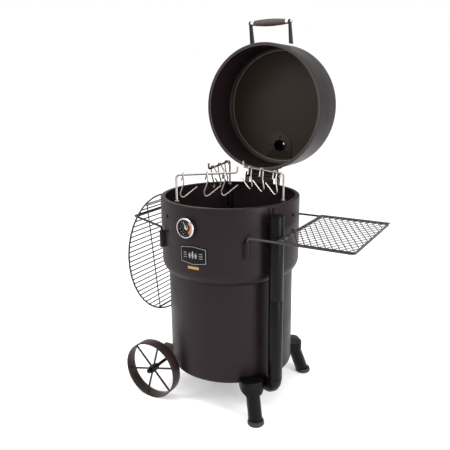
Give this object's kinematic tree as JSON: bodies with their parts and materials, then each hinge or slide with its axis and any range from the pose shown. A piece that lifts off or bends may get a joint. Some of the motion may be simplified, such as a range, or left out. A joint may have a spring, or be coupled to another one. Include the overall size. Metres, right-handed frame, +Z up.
{
  "type": "charcoal drum smoker",
  "caption": "Upright drum smoker with a hinged lid standing open, intake pipe, hanging bars with hooks, side shelf, side grate hanger, legs and wheels.",
  "frame": {"origin": "centre of the object's box on the ground", "axes": "+Z up along the drum axis, -Y the front with the thermometer, +X the shelf side, -X the wheels and the grate hanger"},
  "size_m": [0.8948, 0.7912, 1.3959],
  "materials": {
    "drum_paint": "satin powder coat, dark brownish charcoal",
    "black_paint": "satin black powder coat",
    "wheel_paint": "satin very dark brown paint",
    "rod_coat": "dark grey coating on wire",
    "steel_wire": "bright drawn wire",
    "chrome": "polished",
    "brass": "satin",
    "grip": "matt dark brown heat-proof plastic",
    "rope_seal": "woven heat-proof rope",
    "needle": "matt white",
    "glass": "clear",
    "enamel": "gloss vitreous enamel, black",
    "rubber": "matt black"
  },
  "bodies": {
    "drum": {"drum_barrel": "drum_paint", "drum_collar": "drum_paint", "intake_elbow": "black_paint", "intake_pipe_lower": "black_paint", "intake_pipe_upper": "black_paint", "intake_bracket": "black_paint", "thermometer_case": "chrome", "thermometer_lens": "glass", "badge_plate": "enamel", "badge_tag": "brass", "hinge_drum_bracket": "drum_paint", "hinge_pin": "steel_wire", "axle": "black_paint", "leg_front": "black_paint", "leg_rear": "black_paint", "foot_front": "rubber", "foot_rear": "rubber", "axle_bracket_front": "wheel_paint", "axle_bracket_rear": "wheel_paint", "shelf_sleeve_front": "drum_paint", "shelf_sleeve_rear": "drum_paint", "hanger_sleeve_front": "drum_paint", "hanger_sleeve_rear": "drum_paint", "bar_bracket_left": "black_paint", "bar_bracket_right": "black_paint", "bar_bracket_rear": "black_paint"},
    "lid": {"lid_shell": "drum_paint", "lid_gasket": "rope_seal", "exhaust_stack": "black_paint", "exhaust_doubler": "black_paint", "handle_strap_left": "drum_paint", "handle_strap_right": "drum_paint", "handle_rod": "chrome", "handle_grip": "grip", "hinge_lid_bracket": "drum_paint"},
    "exhaust_damper": {"exhaust_damper": "black_paint"},
    "intake_damper": {"intake_damper": "black_paint"},
    "needle": {"thermometer_needle": "needle"},
    "wheel_front": {"wheel_front": "wheel_paint"},
    "wheel_rear": {"wheel_rear": "wheel_paint"},
    "bar_left": {"bar_left": "steel_wire"},
    "bar_right": {"bar_right": "steel_wire"},
    "bar_rear": {"bar_rear": "steel_wire"},
    "hook_left_1": {"hook_left_1": "steel_wire"},
    "hook_left_2": {"hook_left_2": "steel_wire"},
    "hook_left_3": {"hook_left_3": "steel_wire"},
    "hook_right_1": {"hook_right_1": "steel_wire"},
    "hook_right_2": {"hook_right_2": "steel_wire"},
    "hook_right_3": {"hook_right_3": "steel_wire"},
    "hook_rear_1": {"hook_rear_1": "steel_wire"},
    "hook_rear_2": {"hook_rear_2": "steel_wire"},
    "hook_rear_3": {"hook_rear_3": "steel_wire"},
    "shelf": {"shelf_frame": "rod_coat", "shelf_mesh": "rod_coat"},
    "hanger": {"hanger_rod": "black_paint"},
    "grate": {"cooking_grate": "rod_coat"},
    "ash_pan": {"ash_pan": "enamel"},
    "basket": {"charcoal_basket": "enamel"},
    "basket_bail": {"basket_bail": "rod_coat"},
    "diffuser": {"heat_diffuser": "enamel"}
  },
  "joints": [
    {"name": "lid_hinge", "type": "hinge", "parent": "drum", "child": "lid", "pos_m": [-0.09364, 0.14708, 0.793], "axis": [1, 0, 0], "range_deg": [0, 91.3]},
    {"name": "exhaust_damper_turn", "type": "hinge", "parent": "lid", "child": "exhaust_damper", "pos_m": [-0.09364, 0.37201, 0.89292], "axis": [0, 0.9997, -0.0227], "range_deg": [0, 90]},
    {"name": "intake_damper_turn", "type": "hinge", "parent": "drum", "child": "intake_damper", "pos_m": [0.16122, -0.25929, 0.7404], "axis": [0, 0, 1], "range_deg": [0, 90]},
    {"name": "needle_turn", "type": "hinge", "parent": "drum", "child": "needle", "pos_m": [-0.11205, -0.38428, 0.696], "axis": [0.0698, 0.9976, 0], "range_deg": [-160, 90]},
    {"name": "wheel_front_roll", "type": "hinge", "parent": "drum", "child": "wheel_front", "pos_m": [-0.30564, -0.35292, 0.11], "axis": [0, 1, 0], "continuous": true},
    {"name": "wheel_rear_roll", "type": "hinge", "parent": "drum", "child": "wheel_rear", "pos_m": [-0.30564, 0.11108, 0.11], "axis": [0, 1, 0], "continuous": true},
    {"name": "bar_left_swivel", "type": "hinge", "parent": "drum", "child": "bar_left", "pos_m": [-0.20064, -0.30625, 0.855], "axis": [0, 0, 1], "range_deg": [-60, 0]},
    {"name": "hook_left_1_swing", "type": "hinge", "parent": "bar_left", "child": "hook_left_1", "pos_m": [-0.18199, -0.29114, 0.855], "axis": [0.7771, 0.6293, 0], "range_deg": [-20, 20]},
    {"name": "hook_left_2_swing", "type": "hinge", "parent": "bar_left", "child": "hook_left_2", "pos_m": [-0.11748, -0.23891, 0.855], "axis": [0.7771, 0.6293, 0], "range_deg": [-20, 20]},
    {"name": "hook_left_3_swing", "type": "hinge", "parent": "bar_left", "child": "hook_left_3", "pos_m": [-0.07008, -0.20052, 0.855], "axis": [0.7771, 0.6293, 0], "range_deg": [-20, 20]},
    {"name": "bar_right_swivel", "type": "hinge", "parent": "drum", "child": "bar_right", "pos_m": [0.12036, -0.12092, 0.855], "axis": [0, 0, 1], "range_deg": [-60, 0]},
    {"name": "hook_right_1_swing", "type": "hinge", "parent": "bar_right", "child": "hook_right_1", "pos_m": [0.08022, -0.10551, 0.855], "axis": [-0.9336, 0.3584, 0], "range_deg": [-20, 20]},
    {"name": "hook_right_2_swing", "type": "hinge", "parent": "bar_right", "child": "hook_right_2", "pos_m": [0.0158, -0.08078, 0.855], "axis": [-0.9336, 0.3584, 0], "range_deg": [-20, 20]},
    {"name": "hook_right_3_swing", "type": "hinge", "parent": "bar_right", "child": "hook_right_3", "pos_m": [-0.04395, -0.05785, 0.855], "axis": [-0.9336, 0.3584, 0], "range_deg": [-20, 20]},
    {"name": "bar_rear_swivel", "type": "hinge", "parent": "drum", "child": "bar_rear", "pos_m": [-0.20064, 0.06441, 0.855], "axis": [0, 0, 1], "range_deg": [-60, 0]},
    {"name": "hook_rear_1_swing", "type": "hinge", "parent": "bar_rear", "child": "hook_rear_1", "pos_m": [-0.19501, 0.02885, 0.855], "axis": [0.1564, -0.9877, 0], "range_deg": [-20, 20]},
    {"name": "hook_rear_2_swing", "type": "hinge", "parent": "bar_rear", "child": "hook_rear_2", "pos_m": [-0.18374, -0.04226, 0.855], "axis": [0.1564, -0.9877, 0], "range_deg": [-20, 20]},
    {"name": "hook_rear_3_swing", "type": "hinge", "parent": "bar_rear", "child": "hook_rear_3", "pos_m": [-0.17311, -0.10942, 0.855], "axis": [0.1564, -0.9877, 0], "range_deg": [-20, 20]},
    {"name": "shelf_lift", "type": "slide", "parent": "drum", "child": "shelf", "axis": [0, 0, 1], "range_m": [0, 0.06]},
    {"name": "hanger_lift", "type": "slide", "parent": "drum", "child": "hanger", "axis": [0, 0, 1], "range_m": [0, 0.06]},
    {"name": "grate_swing", "type": "hinge", "parent": "hanger", "child": "grate", "pos_m": [-0.40964, -0.12092, 0.669], "axis": [0, 1, 0], "range_deg": [0, 20]},
    {"name": "pan_lift", "type": "slide", "parent": "drum", "child": "ash_pan", "axis": [0, 0, 1], "range_m": [0, 0.06]},
    {"name": "basket_lift", "type": "slide", "parent": "ash_pan", "child": "basket", "axis": [0, 0, 1], "range_m": [0, 0.06]},
    {"name": "bail_swing", "type": "hinge", "parent": "basket", "child": "basket_bail", "pos_m": [-0.09364, -0.12092, 0.3088], "axis": [1, 0, 0], "range_deg": [0, 90]},
    {"name": "diffuser_lift", "type": "slide", "parent": "drum", "child": "diffuser", "axis": [0, 0, 1], "range_m": [0, 0.14]}
  ]
}
